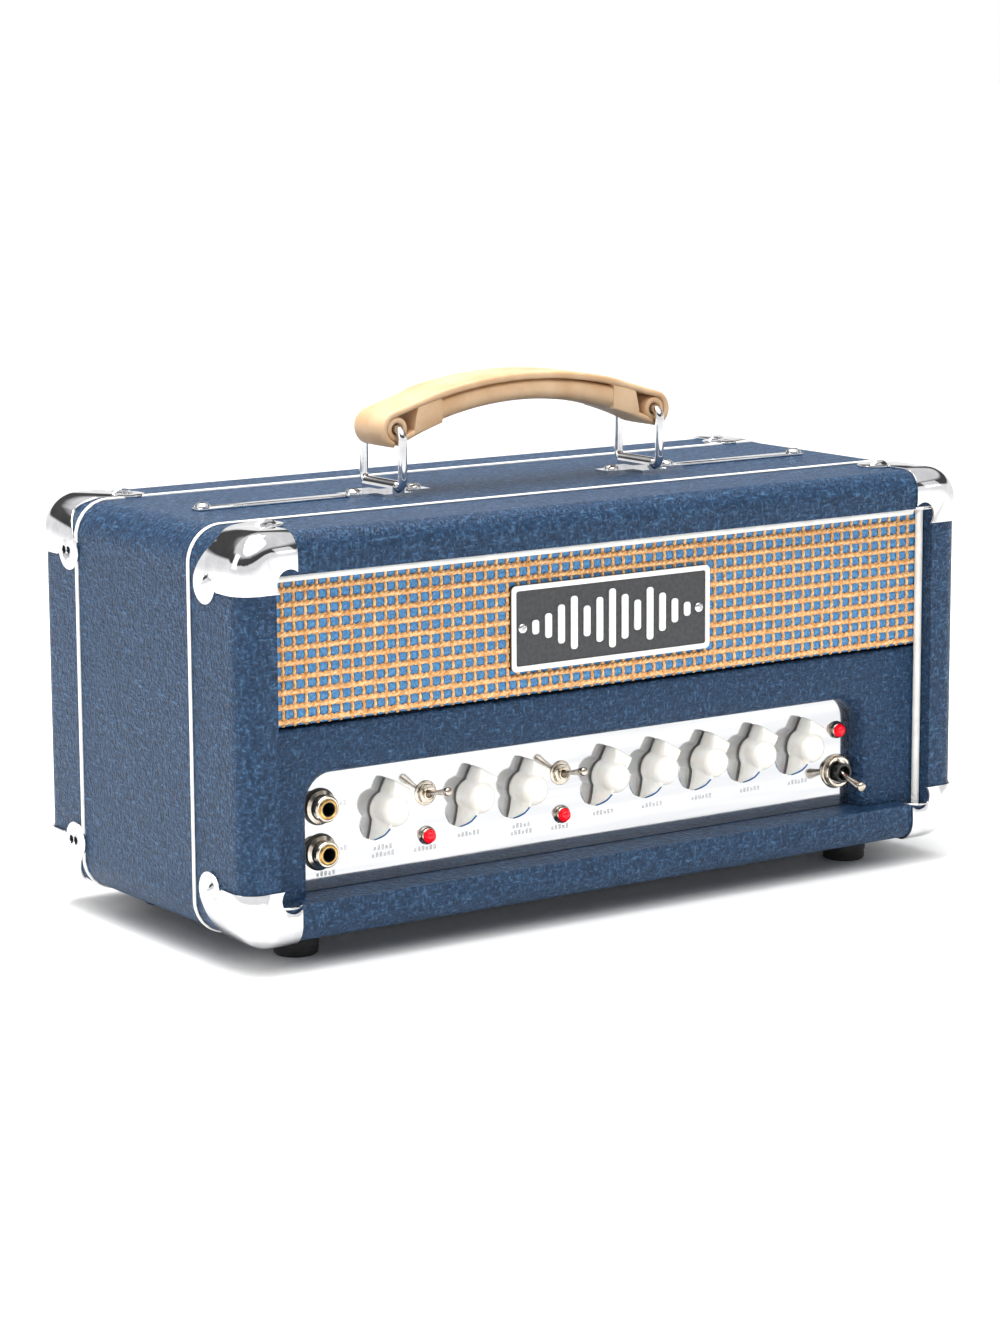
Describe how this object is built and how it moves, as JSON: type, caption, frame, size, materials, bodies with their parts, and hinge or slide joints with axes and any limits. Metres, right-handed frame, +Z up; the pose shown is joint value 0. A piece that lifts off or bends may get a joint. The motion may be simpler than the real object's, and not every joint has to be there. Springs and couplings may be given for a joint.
{
  "type": "guitar amplifier head",
  "caption": "Valve guitar amplifier head: vinyl-covered box, woven grille, recessed polished panel with pointer knobs, jacks and switches, chromed corners and swinging strap handle.",
  "frame": {"origin": "on the surface under the feet, below the middle of the overall box", "axes": "+Z up, +X to the right seen from the front, the front with the control panel faces -Y"},
  "size_m": [0.4372, 0.1956, 0.261],
  "materials": {
    "plywood": "bare birch plywood",
    "vinyl": "navy blue grained vinyl, low sheen",
    "white_trim": "soft white plastic piping, satin",
    "grille_weave": "open cane-like weave, tan cords over blue ribbon",
    "fibreboard": "painted fibreboard",
    "badge_black": "black gloss",
    "badge_white": "white gloss raised relief",
    "chrome": "bright chromed steel",
    "steel": "zinc-plated steel",
    "strap_leather": "natural tan leather, satin",
    "foot_rubber": "black moulded rubber",
    "chassis_steel": "folded plated steel sheet",
    "panel_mirror": "polished mirror-bright plate",
    "knob_white": "off-white moulded plastic",
    "black_plastic": "black moulded plastic",
    "nickel": "nickel-plated brass",
    "lamp_red": "red domed lens",
    "board_green": "green circuit board",
    "capacitor_blue": "dark blue sleeved cans",
    "transformer_black": "black painted laminations and winding",
    "valve_glass": "clear glass envelopes",
    "socket_ceramic": "off-white ceramic sockets",
    "vent_black": "black powder-coated vent panel"
  },
  "bodies": {
    "cabinet": {"top_board": "plywood", "bottom_board": "plywood", "side_board_left": "plywood", "side_board_right": "plywood", "vinyl_cover": "vinyl", "front_band": "white_trim", "rear_band": "white_trim", "opening_piping": "white_trim", "lower_baffle_board": "fibreboard", "lower_baffle_cover": "vinyl", "grille_board": "fibreboard", "grille_cloth": "grille_weave", "badge_plate": "badge_black", "badge_relief": "badge_white", "badge_screws": "chrome", "front_corners": "chrome", "rear_corners": "chrome", "corner_screws": "chrome", "handle_strips": "chrome", "handle_clips": "chrome", "handle_screws": "chrome", "feet": "foot_rubber", "foot_screws": "steel", "front_panel": "panel_mirror", "chassis_tray": "chassis_steel", "chassis_bolts": "steel", "potentiometers": "steel", "input_jacks": "black_plastic", "input_jack_nuts": "nickel", "toggle_bodies": "nickel", "switch_nuts": "nickel", "mains_switch_body": "black_plastic", "lamp_bezels": "nickel", "lamp_lenses": "lamp_red", "circuit_board": "board_green", "capacitors": "capacitor_blue", "mains_transformer": "transformer_black", "output_transformer": "transformer_black", "preamp_valves": "valve_glass", "power_valves": "valve_glass", "valve_sockets": "socket_ceramic", "rear_vent_panel": "vent_black", "rear_cleats": "plywood", "rear_screws": "steel", "mains_inlet": "black_plastic", "speaker_jacks": "black_plastic"},
    "handle_loop_left": {"handle_loop_left": "chrome"},
    "handle_loop_right": {"handle_loop_right": "chrome"},
    "handle_strap": {"handle_strap": "strap_leather"},
    "toggle_lever_left": {"toggle_lever_left": "nickel"},
    "toggle_lever_right": {"toggle_lever_right": "nickel"},
    "mains_switch_lever": {"mains_switch_lever": "nickel"},
    "knob_volume": {"knob_volume": "knob_white"},
    "knob_drive": {"knob_drive": "knob_white"},
    "knob_level": {"knob_level": "knob_white"},
    "knob_bass": {"knob_bass": "knob_white"},
    "knob_middle": {"knob_middle": "knob_white"},
    "knob_treble": {"knob_treble": "knob_white"},
    "knob_tone": {"knob_tone": "knob_white"},
    "knob_reverb": {"knob_reverb": "knob_white"}
  },
  "joints": [
    {"name": "knob_volume_turn", "type": "hinge", "parent": "cabinet", "child": "knob_volume", "pos_m": [-0.1265, -0.075, 0.067], "axis": [0, 1, 0], "range_deg": [0, 300]},
    {"name": "knob_drive_turn", "type": "hinge", "parent": "cabinet", "child": "knob_drive", "pos_m": [-0.0775, -0.075, 0.067], "axis": [0, 1, 0], "range_deg": [0, 300]},
    {"name": "knob_level_turn", "type": "hinge", "parent": "cabinet", "child": "knob_level", "pos_m": [-0.0465, -0.075, 0.067], "axis": [0, 1, 0], "range_deg": [0, 300]},
    {"name": "knob_bass_turn", "type": "hinge", "parent": "cabinet", "child": "knob_bass", "pos_m": [0.0028, -0.075, 0.067], "axis": [0, 1, 0], "range_deg": [0, 300]},
    {"name": "knob_middle_turn", "type": "hinge", "parent": "cabinet", "child": "knob_middle", "pos_m": [0.033, -0.075, 0.067], "axis": [0, 1, 0], "range_deg": [0, 300]},
    {"name": "knob_treble_turn", "type": "hinge", "parent": "cabinet", "child": "knob_treble", "pos_m": [0.064, -0.075, 0.067], "axis": [0, 1, 0], "range_deg": [0, 300]},
    {"name": "knob_tone_turn", "type": "hinge", "parent": "cabinet", "child": "knob_tone", "pos_m": [0.095, -0.075, 0.067], "axis": [0, 1, 0], "range_deg": [0, 300]},
    {"name": "knob_reverb_turn", "type": "hinge", "parent": "cabinet", "child": "knob_reverb", "pos_m": [0.1262, -0.075, 0.067], "axis": [0, 1, 0], "range_deg": [0, 300]},
    {"name": "toggle_left_flip", "type": "hinge", "parent": "cabinet", "child": "toggle_lever_left", "pos_m": [-0.1025, -0.0775, 0.071], "axis": [1, 0, 0], "range_deg": [0, 26]},
    {"name": "toggle_right_flip", "type": "hinge", "parent": "cabinet", "child": "toggle_lever_right", "pos_m": [-0.0235, -0.0775, 0.071], "axis": [1, 0, 0], "range_deg": [0, 26]},
    {"name": "mains_switch_flip", "type": "hinge", "parent": "cabinet", "child": "mains_switch_lever", "pos_m": [0.151, -0.0784, 0.0503], "axis": [1, 0, 0], "range_deg": [-32, 0]},
    {"name": "handle_loop_left_swing", "type": "hinge", "parent": "cabinet", "child": "handle_loop_left", "pos_m": [-0.078, -0.003, 0.209], "axis": [0, 1, 0], "range_deg": [-65, 65]},
    {"name": "handle_loop_right_swing", "type": "hinge", "parent": "cabinet", "child": "handle_loop_right", "pos_m": [0.078, -0.003, 0.209], "axis": [0, 1, 0], "range_deg": [-65, 65]},
    {"name": "handle_strap_tilt", "type": "hinge", "parent": "handle_loop_left", "child": "handle_strap", "pos_m": [-0.078, -0.003, 0.2376], "axis": [0, 1, 0], "range_deg": [-65, 65]}
  ],
  "couplings": [
    {"joint": "handle_loop_right_swing", "follows": "handle_loop_left_swing", "ratio": 1},
    {"joint": "handle_strap_tilt", "follows": "handle_loop_left_swing", "ratio": -1}
  ]
}
